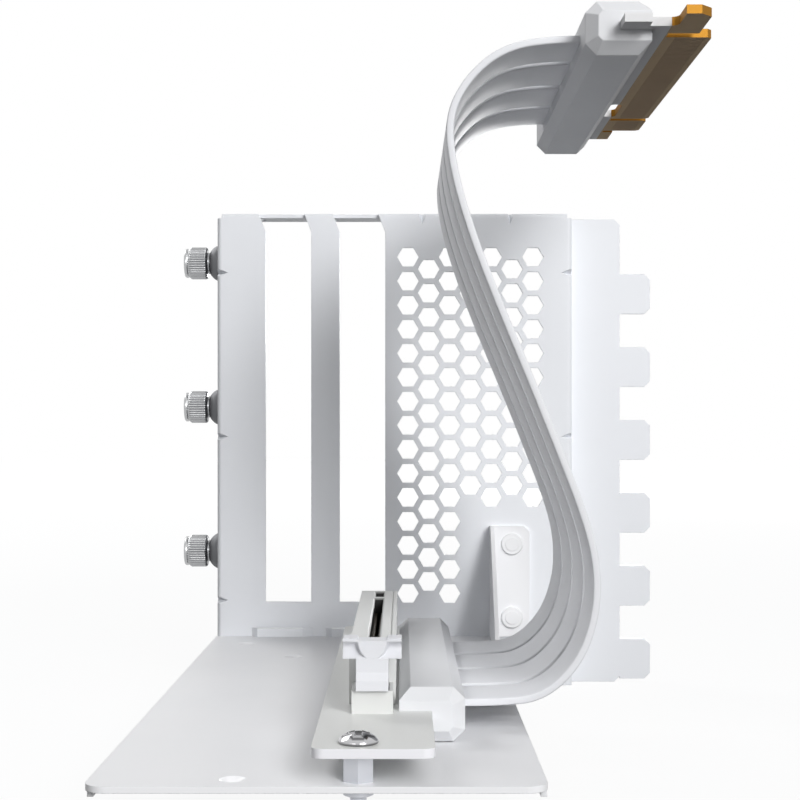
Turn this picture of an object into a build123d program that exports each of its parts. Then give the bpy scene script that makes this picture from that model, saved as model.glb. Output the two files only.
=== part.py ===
from build123d import *
import math
import os

# A vertical graphics card mount: a folded rear plate with two card windows and a honeycomb
# grille, a base plate riveted to it, and a riser whose lower board, card slot and latch
# stand on the base and whose ribbon lead ends in a card edge.
# +Z is up, +Y runs to the back of the computer case, and +X to the card's cooler side.
# The origin is on the middle thumbscrew's axis, halfway along its free thread.

# Driving dimensions, in millimetres

# Case interface
slot_pitch = 20.32
screw_setback = 12.5
screw_above_base = 63.1
screw_pitch = 2 * slot_pitch
thread_radius = 1.75
thread_free = 5.6
thread_relief = 0.2

# Rear plate
sheet = 1.0
bend_inner = 0.3
plate_width = 97.5
plate_below_base = 13.5
plate_above_base = 116.1
side_flange_depth = 19.5
top_flange_depth = 9.8
joggle_depth = 6.2
tab_panel_width = 13.95
tab_count = 6
tab_length = 8.45
tab_height = 11.1
tab_corner = 1.6
top_tab_above_base = 94.5
panel_corner = 1.5
tab_panel_rise = 0.5

# Card windows
window_count = 2
window_inset = 13.36
window_width = 12.5
window_above_base = 9.4
window_shoulder = 111.0
window_lean = 2.0
window_into_flange = 2.4
bracket_screw_radius = 1.4
bracket_screw_setback = 6.35
bracket_screw_inset = 11.6

# Honeycomb grille
cell_across_flats = 5.1
cell_pitch = 6.6
first_column_inset = 52.43
top_cell_above_base = 104.1
cells_per_column = (15, 14, 15, 10, 11, 10, 11)

# Pressed gussets across the bends
dart_leg = 3.0
dart_half_width = 1.2
dart_wall = 0.8
dart_heights = (99.8, 54.8, 9.9)
top_dart_insets = (56.3, 80.4)

# Bridges at the foot of the rear plate
bridge_inset = 9.6
bridge_length = 16.7
bridge_height = 2.3
bridge_rise = 1.8
bridge_left_slope = 1.6
bridge_right_slope = 2.7
tongue_width = 11.0
tongue_reach = 1.5
tongue_clearance = 0.2

# Base plate
base_sheet = 1.1
base_overhang = 0.2
base_width = 74.4
base_length = 171.0
base_corner = 3.5
skirt = 1.0
skirt_drop = 2.7
skirt_front_gap = 4.5
skirt_rear_gap = 6.0
ear_overhang = 1.7
ear_sheet = 1.1
ear_length = 26.5
ear_height = 30.3
ear_top_depth = 4.0
joint_tab_width = 9.8
joint_tab_corner = 1.5
dimple_radius = 2.2
dimple_floor_radius = 0.9
dimple_swell = 0.55
dimple_depth = 0.9
dimple_places = ((9.7, 13.6), (23.8, 36.1), (23.5, 165.8))

# Rivets
rivet_head_radius = 2.95
rivet_head = 0.75
rivet_button_radius = 1.85
rivet_button = 0.2
rivet_chamfer = 0.25
rivet_tail_radius = 2.2
rivet_shank_radius = 1.5
rivet_clearance = 0.05
rivet_inset = 5.0
rivet_heights = (25.4, 5.3)

# Thumbscrews and their ferrules
ferrule_length = 3.6
ferrule_foot_radius = 5.1
ferrule_shoulder = 1.3
ferrule_shoulder_radius = 4.55
ferrule_tip_radius = 3.1
ferrule_spigot_radius = 2.9
press_clearance = 0.02
running_clearance = 0.08
end_clearance = 0.1
shank_radius = 1.35
neck_length = 0.7
neck_radius = 3.05
knurl_length = 5.5
knurl_radius = 4.5
knurl_chamfer = 0.5
knurl_count = 40
knurl_groove = 0.4
groove_turn = 45
rim_length = 1.1
rim_radius = 4.05
recess_width = 0.9
recess_length = 4.2
recess_depth = 1.2
rim_chamfer = 0.4
screw_tip = 0.45

# Riser board, slot and latch
board_thick = 1.6
board_left_inset = 36.4
board_width = 19.9
board_front_inset = -0.3
board_length = 147.0
board_corner = 2.0
standoff_height = 4.45
standoff_flats = 4.75
standoff_turn = 30
standoff_hole_radius = 1.45
clinch_radius = 2.5
clinch_rim = 1.1
clinch_tip_radius = 1.35
clinch_waist = 1.6
clinch_length = 2.0
board_screw_inset = 7.5
board_screw_front = 4.7
board_screw_rear = 4.7
screw_radius = 1.25
screw_head_radius = 3.3
screw_head_rim = 0.6
screw_crown_radius = 1.9
screw_head = 2.3
board_recess_length = 3.2
board_recess_width = 0.8
board_recess_depth = 1.1
screw_thread = 3.5
slot_width = 8.65
slot_length = 89.0
slot_height = 11.2
slot_left_inset = 4.8
slot_front_inset = 38.3
groove_width = 1.9
groove_depth = 8.6
groove_lead = 0.4
groove_end_wall = 1.5
groove_offset = 4.45
key_from_rear = 14.0
key_width = 1.9
parting_line_inset = 0.95
parting_line_width = 0.25
parting_line_depth = 0.3
contact_pitch = 1.0
contact_width = 0.6
contact_thick = 0.55
contact_height = 4.6
contact_drop = 3.5
long_contacts = 71
short_contacts = 11
foot_half_width = 3.7
foot_length = 9.6
foot_height = 4.1
foot_wall = 0.65
foot_front_wall = 0.9
latch_side_gap = 0.15
pivot_radius = 0.8
pivot_behind_front = 4.6
pivot_above_board = 2.2
latch_root = 1.5
stem_bottom = 5.45
stem_fold = 7.45
lip_top = 6.1
lip_bottom = 4.2
lip_front = -1.2
lip_back = -0.3
wing_front = -0.4
wing_thick = 5.0
wing_half_width = 5.25
wing_bottom = 9.9
wing_top = 13.5
tower_half_width = 2.1
scoop_radius = 3.0
scoop_depth = 1.6
hook_reach = 4.4
hook_width = 1.7
hook_thick = 1.4
hook_top = 11.1

# Ribbon lead and its two moulded housings
housing_width = 12.0
housing_height = 9.9
housing_side_chamfer = 2.1
housing_end_chamfer = 2.2
lower_housing_inset = 14.0
lower_housing_lift = 0.2
lower_housing_front = 31.4
lower_housing_length = 102.3
strip_thick = 1.45
strip_widths = (14.5, 17.5, 17.5, 17.5)
strip_gap = 2.6
strip_front = 44.6
strip_seat = 1.5
upper_housing_front = 35.2
upper_housing_length = 101.4

# Card edge
edge_board_left = 6.2
edge_tab_front = -5.3
edge_tab_width = 5.0
edge_step_front = -2.5
hook_inner = 16.3
hook_outer = 21.1
hook_front = -10.4
hook_rear = 2.6
hook_bevel = 2.1
hook_inner_radius = 1.5
finger_root = 15.4
finger_tip = 24.0
finger_corner = 0.8
long_fingers_front = 5.3
long_fingers_rear = 77.0
short_fingers_front = 79.2
short_fingers_rear = 90.9
shoulder_front = 92.6
shoulder_tip = 17.9
edge_hole_length = 13.0
edge_hole_width = 3.0
edge_hole_inset = 14.4
edge_hole_from_front = 68.5
finger_pad_length = 5.6
finger_pad_width = 0.7
finger_pad_thick = 0.05
finger_pad_tip_gap = 1.2

# Datums, worked out from the sizes above

plate_front = -screw_setback
base_top = -screw_above_base
plate_left = -(thread_free / 2 + thread_relief + sheet)
plate_right = plate_left + plate_width
plate_top = base_top + plate_above_base
plate_bottom = base_top - plate_below_base
bend_outer = bend_inner + sheet
panel_top = plate_top - bend_outer
tab_panel_front = plate_front + joggle_depth
tab_panel_right = plate_right + tab_panel_width
base_left = plate_left - base_overhang
base_right = base_left + base_width
base_front = plate_front - base_length
base_bottom = base_top - base_sheet
board_left = base_left + board_left_inset
board_right = board_left + board_width
board_front = base_front + board_front_inset
board_rear = board_front + board_length
board_bottom = base_top + standoff_height
board_top = board_bottom + board_thick
slot_left = board_left + slot_left_inset
slot_right = slot_left + slot_width
slot_front = board_front + slot_front_inset
slot_rear = slot_front + slot_length
slot_top = board_top + slot_height
card_x = slot_left + groove_offset
key_y = slot_rear - key_from_rear
foot_front = slot_front - foot_length
pivot_y = foot_front + pivot_behind_front
pivot_z = board_top + pivot_above_board
lower_housing_left = board_left + lower_housing_inset
lower_housing_right = lower_housing_left + housing_width
lower_housing_y = board_front + lower_housing_front
lower_housing_z = base_top + lower_housing_lift
strip_y = board_front + strip_front


def facing_front(y):
    # A sketch here has X to the right and Z up; a negative extrusion runs towards the back
    return Plane(origin=(0, y, 0), x_dir=(1, 0, 0), z_dir=(0, -1, 0))


def facing_side(x):
    # A sketch here has Y to the right and Z up; an extrusion runs towards +X
    return Plane(origin=(x, 0, 0), x_dir=(0, 1, 0), z_dir=(1, 0, 0))


os.makedirs("parts", exist_ok=True)


def finish(builder, name):
    builder.part.label = name
    export_step(builder.part, f"parts/{name}.step")


# Ribbon route

# Points of the route in X and Z, measured from the lower housing's outer face at the height
# of the ribbon; the ribbon enters both housings level
route = [
    (-strip_seat, 0),
    (7.0, 0.0),
    (15.4, 0.9),
    (22.2, 7.4),
    (25.5, 16.4),
    (25.7, 25.6),
    (23.5, 34.7),
    (18.3, 48.1),
    (12.8, 61.8),
    (6.8, 76.1),
    (1.5, 90.2),
    (-1.6, 102.4),
    (-2.1, 111.4),
    (1.6, 118.5),
    (7.6, 123.5),
    (15.8, 125.25),
    (22.2 + strip_seat, 125.25),
]
ribbon_z = lower_housing_z + housing_height / 2
route_points = [(lower_housing_right + x, ribbon_z + z) for x, z in route]


def route_radii(points):
    # Each arc is 0.45 of its shorter run over the tangent of half the turn
    radii = []
    for before, corner, after in zip(points, points[1:], points[2:]):
        run_in = Vector(*corner) - Vector(*before)
        run_out = Vector(*after) - Vector(*corner)
        half_turn = math.radians(run_in.get_angle(run_out)) / 2
        radii.append(0.45 * min(run_in.length, run_out.length) / math.tan(half_turn))
    return radii


strip_radii = route_radii(route_points)
print("ribbon bend radii", [round(radius, 1) for radius in strip_radii])

upper_housing_left = route_points[-1][0] - strip_seat
upper_housing_z = route_points[-1][1] - housing_height / 2
upper_housing_y = board_front + upper_housing_front
strip_spans = []
for strip_width in strip_widths:
    strip_spans.append((strip_y, strip_y + strip_width))
    strip_y = strip_y + strip_width + strip_gap

# Rear plate

with BuildPart() as rear_plate:
    with BuildSketch(Plane.XY.offset(plate_bottom)):
        with BuildLine():
            FilletPolyline(
                (plate_left, plate_front + side_flange_depth),
                (plate_left, plate_front),
                (plate_right, plate_front),
                (plate_right, tab_panel_front),
                (tab_panel_right, tab_panel_front),
                radius=[bend_outer, bend_outer, bend_inner],
            )
            offset(amount=sheet, side=Side.LEFT)
        make_face()
    extrude(amount=panel_top + tab_panel_rise - plate_bottom)
    outer_edges = rear_plate.edges().filter_by(Axis.Y).group_by(Axis.X)[-1]
    chamfer(outer_edges, panel_corner)
    with BuildSketch(Plane.XY.offset(panel_top)):
        with Locations((plate_right, plate_front)):
            Rectangle(plate_width, 2 * side_flange_depth, align=(Align.MAX, Align.CENTER))
    extrude(amount=tab_panel_rise, mode=Mode.SUBTRACT)

    # Top flange, folded back
    with BuildSketch(facing_side(plate_left + bend_outer)):
        with BuildLine():
            FilletPolyline(
                (plate_front, panel_top - bend_outer),
                (plate_front, plate_top),
                (plate_front + top_flange_depth, plate_top),
                radius=[bend_outer],
            )
            offset(amount=sheet, side=Side.RIGHT)
        make_face()
    extrude(amount=plate_width - 2 * bend_outer)

    # Tabs that slip behind the case frame
    with BuildSketch(facing_front(tab_panel_front)) as tabs:
        middle_tab = top_tab_above_base - (tab_count - 1) / 2 * slot_pitch
        with Locations((tab_panel_right, base_top + middle_tab)):
            with GridLocations(0, slot_pitch, 1, tab_count):
                Rectangle(2 * tab_length, tab_height)
        chamfer(tabs.vertices(), tab_corner)
        with Locations((tab_panel_right, base_top + middle_tab)):
            Rectangle(
                2 * tab_length,
                2 * plate_above_base,
                align=(Align.MAX, Align.CENTER),
                mode=Mode.SUBTRACT,
            )
    extrude(amount=-sheet)

    # Card windows, cut on through the top bend
    with BuildSketch(facing_front(plate_front)):
        for window in range(window_count):
            left = plate_left + window_inset + window * slot_pitch
            right = left + window_width
            with BuildLine():
                Polyline(
                    (left, base_top + window_above_base),
                    (right, base_top + window_above_base),
                    (right, base_top + window_shoulder),
                    (right - window_lean, plate_top),
                    (left - window_lean, plate_top),
                    (left, base_top + window_shoulder),
                    close=True,
                )
            make_face()
    extrude(amount=-window_into_flange, mode=Mode.SUBTRACT)

    # Tapped holes for the card brackets' screws
    first_screw = plate_left + bracket_screw_inset
    with BuildSketch(Plane.XY.offset(plate_top)):
        with Locations((first_screw + slot_pitch / 2, plate_front + bracket_screw_setback)):
            with GridLocations(slot_pitch, 0, window_count, 1):
                Circle(bracket_screw_radius)
    extrude(amount=-sheet, mode=Mode.SUBTRACT)

    # Honeycomb grille
    with BuildSketch(facing_front(plate_front)):
        for column, count in enumerate(cells_per_column):
            x = plate_left + first_column_inset + column * cell_pitch * math.sqrt(3) / 2
            top = base_top + top_cell_above_base - column % 2 * cell_pitch / 2
            with Locations(*[(x, top - row * cell_pitch) for row in range(count)]):
                RegularPolygon(cell_across_flats / 2, 6, major_radius=False)
    extrude(amount=-sheet, mode=Mode.SUBTRACT)

    # Bridges over the base plate's tongues
    for window in range(window_count):
        left = plate_left + bridge_inset + window * slot_pitch
        right = left + bridge_length
        crown_left = left + bridge_left_slope
        crown_right = right - bridge_right_slope
        crown = plate_front - bridge_rise
        with BuildSketch(facing_front(plate_front)):
            with Locations(((crown_left + crown_right) / 2, base_top - base_sheet - tongue_clearance)):
                Rectangle(
                    crown_right - crown_left,
                    base_sheet + tongue_clearance + bridge_height,
                    align=(Align.CENTER, Align.MIN),
                )
        extrude(amount=-sheet, mode=Mode.SUBTRACT)
        with BuildSketch(Plane.XY.offset(base_top)):
            with BuildLine():
                Polyline(
                    (left, plate_front),
                    (crown_left, crown),
                    (crown_right, crown),
                    (right, plate_front),
                    (right, plate_front + sheet),
                    (crown_right, crown + sheet),
                    (crown_left, crown + sheet),
                    (left, plate_front + sheet),
                    close=True,
                )
            make_face()
        extrude(amount=bridge_height)

    # Pressed gussets: a three-sided dent across the bend, with the metal pushed inside
    def dart(corner, along, panel_way, flange_way, leg, half, mode):
        # A triangle across the bend, drawn to a point on the bend at each side
        ends = [corner + along * half, corner - along * half]
        middle = [corner, corner + panel_way * leg, corner + flange_way * leg]
        triangle = Face(Wire.make_polygon(middle, close=True))
        loft([Vertex(*ends[0]), triangle, Vertex(*ends[1])], ruled=True, mode=mode)

    up = Vector(0, 0, 1)
    right_way = Vector(1, 0, 0)
    back_way = Vector(0, 1, 0)
    side_bends = [Vector(plate_left, plate_front, base_top + z) for z in dart_heights]
    joggle_bends = [Vector(plate_right, plate_front, base_top + z) for z in dart_heights]
    top_bends = [Vector(plate_left + x, plate_front, plate_top) for x in top_dart_insets]
    dents = [(corner, up, right_way, back_way) for corner in side_bends]
    dents += [(corner, up, -right_way, back_way) for corner in joggle_bends]
    dents += [(corner, right_way, -up, back_way) for corner in top_bends]
    rib_leg = dart_leg - sheet + dart_wall * math.sqrt(2)
    rib_half = dart_half_width + dart_wall
    for corner, along, panel_way, flange_way in dents:
        mid_sheet = corner + (panel_way + flange_way) * sheet / 2
        dart(mid_sheet, along, panel_way, flange_way, rib_leg, rib_half, Mode.ADD)
    for corner, along, panel_way, flange_way in dents:
        dart(corner, along, panel_way, flange_way, dart_leg, dart_half_width, Mode.SUBTRACT)

    # Ferrule seats in the side flange and rivet holes in the panel
    with BuildSketch(facing_side(plate_left)):
        with GridLocations(0, screw_pitch, 1, 3):
            Circle(ferrule_spigot_radius + press_clearance)
    extrude(amount=sheet, mode=Mode.SUBTRACT)
    rivet_x = base_right + ear_overhang + rivet_inset
    rivet_spots = [(rivet_x, base_top + z) for z in rivet_heights]
    with BuildSketch(facing_front(plate_front)):
        with Locations(*rivet_spots):
            Circle(rivet_shank_radius + rivet_clearance)
    extrude(amount=-sheet, mode=Mode.SUBTRACT)
finish(rear_plate, "rear_plate")

# Base plate


def bowl(x, y, top, radius, floor_radius, mode):
    # A shallow round dish hanging below a flat face at height top
    with BuildSketch(Plane(origin=(x, y, top), x_dir=(1, 0, 0), z_dir=(0, -1, 0))) as half:
        with BuildLine():
            Polyline(
                (0, 0), (radius, 0), (floor_radius, -dimple_depth), (0, -dimple_depth), close=True
            )
        make_face()
    revolve(half.sketch, axis=Axis((x, y, 0), (0, 0, 1)), mode=mode)


board_screw_x = board_left + board_screw_inset
board_screw_places = {
    "front": (board_screw_x, board_front + board_screw_front),
    "rear": (board_screw_x, board_rear - board_screw_rear),
}
dimples = [(base_left + x, plate_front - y) for x, y in dimple_places]
ear_right = base_right + ear_overhang
ear_left = ear_right - ear_sheet
joint_tab_right = ear_right + joint_tab_width

with BuildPart() as base_plate:
    # Flat panel with the tongues that pass under the rear plate's bridges
    with BuildSketch(Plane.XY.offset(base_bottom)) as panel:
        with Locations((base_left, base_front)):
            Rectangle(base_width, base_length, align=(Align.MIN, Align.MIN))
        fillet(panel.vertices().group_by(Axis.Y)[0], base_corner)
        with Locations((base_right, plate_front)):
            Rectangle(ear_overhang, ear_length, align=(Align.MIN, Align.MAX))
        for window in range(window_count):
            bridge_left = plate_left + bridge_inset + window * slot_pitch
            flat_left = bridge_left + bridge_left_slope
            flat_right = bridge_left + bridge_length - bridge_right_slope
            with Locations(((flat_left + flat_right) / 2, plate_front)):
                Rectangle(tongue_width, sheet + tongue_reach, align=(Align.CENTER, Align.MIN))
    extrude(amount=base_sheet)

    # Skirts folded down along both sides
    skirt_front = base_front + skirt_front_gap
    skirt_rear = plate_front - skirt_rear_gap
    ear_front = plate_front - ear_length
    with BuildSketch(Plane.XY.offset(base_bottom)):
        with Locations((base_left, skirt_front)):
            Rectangle(skirt, skirt_rear - skirt_front, align=(Align.MIN, Align.MIN))
        with Locations((base_right, skirt_front)):
            skirt_length = ear_front - skirt_rear_gap - skirt_front
            Rectangle(skirt, skirt_length, align=(Align.MAX, Align.MIN))
    extrude(amount=base_sheet - skirt_drop)

    # Three-cornered cheek folded up at the right
    with BuildSketch(facing_side(ear_left)):
        with BuildLine():
            Polyline(
                (ear_front, base_bottom),
                (ear_front, base_top),
                (plate_front - ear_top_depth, base_top + ear_height),
                (plate_front, base_top + ear_height),
                (plate_front, base_bottom),
                close=True,
            )
        make_face()
    extrude(amount=ear_sheet)

    # Joint tab, folded from the cheek and lying on the rear plate
    with BuildSketch(facing_front(plate_front - ear_sheet)) as joint_tab:
        with Locations((ear_left, base_top)):
            Rectangle(joint_tab_right - ear_left, ear_height, align=(Align.MIN, Align.MIN))
        chamfer(joint_tab.vertices().group_by(Axis.X)[-1].sort_by(Axis.Y)[-1], joint_tab_corner)
        with Locations(*rivet_spots):
            Circle(rivet_shank_radius + rivet_clearance, mode=Mode.SUBTRACT)
    extrude(amount=-ear_sheet)

    # Dimples, pressed down from the top face, and the standoffs' holes
    for x, y in dimples:
        swollen = dimple_floor_radius + dimple_swell
        bowl(x, y, base_bottom, dimple_radius + dimple_swell, swollen, Mode.ADD)
    for x, y in dimples:
        bowl(x, y, base_top, dimple_radius, dimple_floor_radius, Mode.SUBTRACT)
    with BuildSketch(Plane.XY.offset(base_bottom)):
        with Locations(*board_screw_places.values()):
            Circle(standoff_hole_radius + rivet_clearance)
    extrude(amount=base_sheet, mode=Mode.SUBTRACT)
finish(base_plate, "base_plate")

# Rivets through the joint tab and the rear plate

rivet_names = ("rivet_upper", "rivet_lower")
for name, (x, z) in zip(rivet_names, rivet_spots):
    head_back = plate_front - ear_sheet
    with BuildPart() as rivet:
        with BuildSketch(facing_front(head_back)):
            with Locations((x, z)):
                Circle(rivet_head_radius)
        extrude(amount=rivet_head)
        chamfer(rivet.faces().sort_by(Axis.Y)[0].edges(), rivet_chamfer)
        with BuildSketch(facing_front(head_back - rivet_head)):
            with Locations((x, z)):
                Circle(rivet_button_radius)
        extrude(amount=rivet_button)
        with BuildSketch(facing_front(head_back)):
            with Locations((x, z)):
                Circle(rivet_shank_radius)
        extrude(amount=-(ear_sheet + sheet))
        with BuildSketch(facing_front(plate_front + sheet)):
            with Locations((x, z)):
                Circle(rivet_tail_radius)
        extrude(amount=-rivet_head)
    finish(rivet, name)

# Thumbscrews and the ferrules that carry them

screw_heights = {"upper": screw_pitch, "middle": 0, "lower": -screw_pitch}
ferrule_tip = plate_left - ferrule_length
neck_inner = ferrule_tip - end_clearance
knurl_inner = neck_inner - neck_length
knurl_outer = knurl_inner - knurl_length
head_end = knurl_outer - rim_length
thread_end = thread_free / 2

for name, z in screw_heights.items():
    screw_axis = Axis((0, 0, z), (1, 0, 0))
    with BuildPart() as ferrule:
        with BuildSketch(facing_front(0)):
            with BuildLine():
                Polyline(
                    (plate_left + sheet, z + shank_radius + running_clearance),
                    (plate_left + sheet, z + ferrule_spigot_radius),
                    (plate_left, z + ferrule_spigot_radius),
                    (plate_left, z + ferrule_foot_radius),
                    (ferrule_tip + ferrule_shoulder, z + ferrule_shoulder_radius),
                    (ferrule_tip, z + ferrule_tip_radius),
                    (ferrule_tip, z + shank_radius + running_clearance),
                    close=True,
                )
            make_face()
        revolve(axis=screw_axis)
    finish(ferrule, f"screw_ferrule_{name}")

    with BuildPart() as thumbscrew:
        with BuildSketch(facing_side(knurl_outer)):
            with Locations((0, z)):
                Circle(knurl_radius)
        extrude(amount=knurl_length)
        chamfer(thumbscrew.edges().filter_by(GeomType.CIRCLE), knurl_chamfer)
        with BuildSketch(facing_side(knurl_outer)):
            with Locations((0, z)):
                with PolarLocations(knurl_radius, knurl_count):
                    Rectangle(knurl_groove, knurl_groove, rotation=groove_turn)
        extrude(amount=knurl_length, mode=Mode.SUBTRACT)
        for start, length, radius in (
            (head_end, rim_length, rim_radius),
            (knurl_inner, neck_length, neck_radius),
            (neck_inner, -thread_end - neck_inner, shank_radius),
            (-thread_end, thread_free + screw_tip, thread_radius),
        ):
            with BuildSketch(facing_side(start)):
                with Locations((0, z)):
                    Circle(radius)
            extrude(amount=length)
        chamfer(thumbscrew.faces().sort_by(Axis.X)[-1].edges(), screw_tip)
        chamfer(thumbscrew.faces().sort_by(Axis.X)[0].edges(), rim_chamfer)
        with BuildSketch(facing_side(head_end)):
            with Locations((0, z)):
                Rectangle(recess_length, recess_width)
                Rectangle(recess_width, recess_length)
        extrude(amount=recess_depth, mode=Mode.SUBTRACT)
    finish(thumbscrew, f"thumbscrew_{name}")

# Riser board, its standoffs and screws

with BuildPart() as riser_board:
    with BuildSketch(Plane.XY.offset(board_bottom)) as board_outline:
        with Locations((board_left, board_front)):
            Rectangle(board_width, board_length, align=(Align.MIN, Align.MIN))
        fillet(board_outline.vertices(), board_corner)
        with Locations(*board_screw_places.values()):
            Circle(screw_radius + rivet_clearance, mode=Mode.SUBTRACT)
    extrude(amount=board_thick)
finish(riser_board, "riser_board")

for name, (x, y) in board_screw_places.items():
    post_axis = Axis((x, y, 0), (0, 0, 1))
    with BuildPart() as standoff:
        with BuildSketch(Plane.XY.offset(base_top)):
            with Locations((x, y)):
                RegularPolygon(standoff_flats / 2, 6, major_radius=False, rotation=standoff_turn)
        extrude(amount=standoff_height)
        with BuildSketch(facing_front(y)):
            with BuildLine():
                Polyline(
                    (x, base_top),
                    (x + standoff_hole_radius, base_top),
                    (x + standoff_hole_radius, base_bottom),
                    (x + clinch_radius, base_bottom),
                    (x + clinch_radius, base_bottom - clinch_rim),
                    (x + clinch_tip_radius, base_bottom - clinch_waist),
                    (x + clinch_tip_radius, base_bottom - clinch_length),
                    (x, base_bottom - clinch_length),
                    close=True,
                )
            make_face()
        revolve(axis=post_axis)
        with BuildSketch(Plane.XY.offset(board_bottom)):
            with Locations((x, y)):
                Circle(screw_radius + press_clearance)
        extrude(amount=-screw_thread, mode=Mode.SUBTRACT)
    finish(standoff, f"standoff_{name}")

    with BuildPart() as board_screw:
        with BuildSketch(facing_front(y)):
            with BuildLine():
                Polyline(
                    (x, board_top),
                    (x + screw_head_radius, board_top),
                    (x + screw_head_radius, board_top + screw_head_rim),
                    (x + screw_crown_radius, board_top + screw_head),
                    (x, board_top + screw_head),
                    close=True,
                )
            make_face()
        revolve(axis=post_axis)
        with BuildSketch(Plane.XY.offset(board_top)):
            with Locations((x, y)):
                Circle(screw_radius)
        extrude(amount=-(board_thick + screw_thread))
        with BuildSketch(Plane.XY.offset(board_top + screw_head)):
            with Locations((x, y)):
                Rectangle(board_recess_length, board_recess_width)
                Rectangle(board_recess_width, board_recess_length)
        extrude(amount=-board_recess_depth, mode=Mode.SUBTRACT)
    finish(board_screw, f"board_screw_{name}")

# Card slot

foot_left = card_x - foot_half_width
with BuildPart() as gpu_slot:
    with BuildSketch(Plane.XY.offset(board_top)):
        with Locations((slot_left, slot_front)):
            Rectangle(slot_width, slot_length, align=(Align.MIN, Align.MIN))
    extrude(amount=slot_height)

    # Groove for the card edge, with a lead-in and the key between its two lengths
    with BuildSketch(facing_front(slot_front + groove_end_wall)):
        with BuildLine():
            half = groove_width / 2
            Polyline(
                (card_x - half, slot_top - groove_depth),
                (card_x + half, slot_top - groove_depth),
                (card_x + half, slot_top - groove_lead),
                (card_x + half + groove_lead, slot_top),
                (card_x - half - groove_lead, slot_top),
                (card_x - half, slot_top - groove_lead),
                close=True,
            )
        make_face()
    extrude(amount=-(slot_length - 2 * groove_end_wall), mode=Mode.SUBTRACT)
    with BuildSketch(Plane.XY.offset(slot_top - groove_depth)):
        with Locations((card_x, key_y)):
            Rectangle(groove_width + 2 * groove_lead, key_width)
    extrude(amount=groove_depth)
    with BuildSketch(Plane.XY.offset(slot_top)):
        with Locations((slot_right - parting_line_inset, slot_front)):
            Rectangle(parting_line_width, slot_length, align=(Align.CENTER, Align.MIN))
    extrude(amount=-parting_line_depth, mode=Mode.SUBTRACT)

    # Foot that carries the latch between two cheeks, behind a low front wall
    with BuildSketch(Plane.XY.offset(board_top)):
        with Locations((card_x, foot_front)):
            Rectangle(2 * foot_half_width, foot_length, align=(Align.CENTER, Align.MIN))
            with Locations((0, foot_front_wall)):
                Rectangle(
                    2 * (foot_half_width - foot_wall),
                    foot_length - foot_front_wall,
                    align=(Align.CENTER, Align.MIN),
                    mode=Mode.SUBTRACT,
                )
    extrude(amount=foot_height)
    with BuildSketch(facing_side(foot_left)):
        with Locations((pivot_y, pivot_z)):
            Circle(pivot_radius + running_clearance)
    extrude(amount=2 * foot_half_width, mode=Mode.SUBTRACT)
finish(gpu_slot, "gpu_slot")

# Spring contacts, one row on each wall of the groove

long_run_centre = (slot_front + groove_end_wall + key_y - key_width / 2) / 2
short_run_centre = (slot_rear - groove_end_wall + key_y + key_width / 2) / 2
for name, side in (("left", -1), ("right", 1)):
    wall_x = card_x + side * groove_width / 2
    with BuildPart() as contacts:
        with BuildSketch(Plane.XY.offset(slot_top - contact_drop)):
            for centre, count in (
                (long_run_centre, long_contacts),
                (short_run_centre, short_contacts),
            ):
                with Locations((wall_x - side * contact_thick / 2, centre)):
                    with GridLocations(0, contact_pitch, 1, count):
                        Rectangle(contact_thick, contact_width)
        extrude(amount=-contact_height)
    finish(contacts, f"slot_contacts_{name}")

# Slot latch: a stem on two pivot pins, wings to press, and a hook over the card

root_half = foot_half_width - foot_wall - latch_side_gap
wing_y = foot_front + wing_front
stem_back = wing_y + wing_thick
with BuildPart() as slot_latch:
    # Stem, level with the wings and folded out to a lip in front of the foot
    with BuildSketch(facing_side(card_x - root_half)):
        with BuildLine():
            Polyline(
                (stem_back, board_top + wing_bottom),
                (wing_y, board_top + wing_bottom),
                (wing_y, board_top + stem_fold),
                (foot_front + lip_front, board_top + lip_top),
                (foot_front + lip_front, board_top + lip_bottom),
                (foot_front + lip_back, board_top + lip_bottom),
                (foot_front + lip_back, board_top + stem_bottom),
                (pivot_y + latch_root, board_top + stem_bottom),
                close=True,
            )
        make_face()
        with Locations((pivot_y, pivot_z)):
            Circle(latch_root)
        with Locations((pivot_y, pivot_z)):
            root_height = board_top + stem_bottom - pivot_z
            Rectangle(2 * latch_root, root_height, align=(Align.CENTER, Align.MIN))
    extrude(amount=2 * root_half)
    with BuildSketch(facing_side(foot_left)):
        with Locations((pivot_y, pivot_z)):
            Circle(pivot_radius)
    extrude(amount=2 * foot_half_width)

    # Wings, scooped out for the fingertips each side of the middle
    with BuildSketch(facing_front(wing_y)):
        with Locations((card_x, board_top + wing_bottom)):
            Rectangle(2 * wing_half_width, wing_top - wing_bottom, align=(Align.CENTER, Align.MIN))
    extrude(amount=-wing_thick)
    scoop_y = wing_y + scoop_depth - scoop_radius
    for side in (-1, 1):
        scoop_x = card_x + side * (tower_half_width + scoop_radius)
        with Locations((scoop_x, scoop_y, board_top + wing_top)):
            Sphere(scoop_radius, mode=Mode.SUBTRACT)
        with BuildSketch(facing_side(scoop_x)):
            with Locations((scoop_y, board_top + wing_top)):
                Circle(scoop_radius)
        extrude(amount=side * scoop_radius, mode=Mode.SUBTRACT)
    with BuildSketch(Plane.XY.offset(board_top + hook_top)):
        with Locations((card_x, stem_back)):
            Rectangle(hook_width, hook_reach, align=(Align.CENTER, Align.MIN))
    extrude(amount=-hook_thick)
finish(slot_latch, "slot_latch")

# Moulded housings on the two ends of the ribbon


def housing_block(left, front, bottom, length):
    # A long block with bevelled sides and ends
    with BuildSketch(facing_front(front)) as section:
        with Locations((left, bottom)):
            Rectangle(housing_width, housing_height, align=(Align.MIN, Align.MIN))
        chamfer(section.vertices(), housing_side_chamfer)
    extrude(section.sketch, amount=-length)


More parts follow.
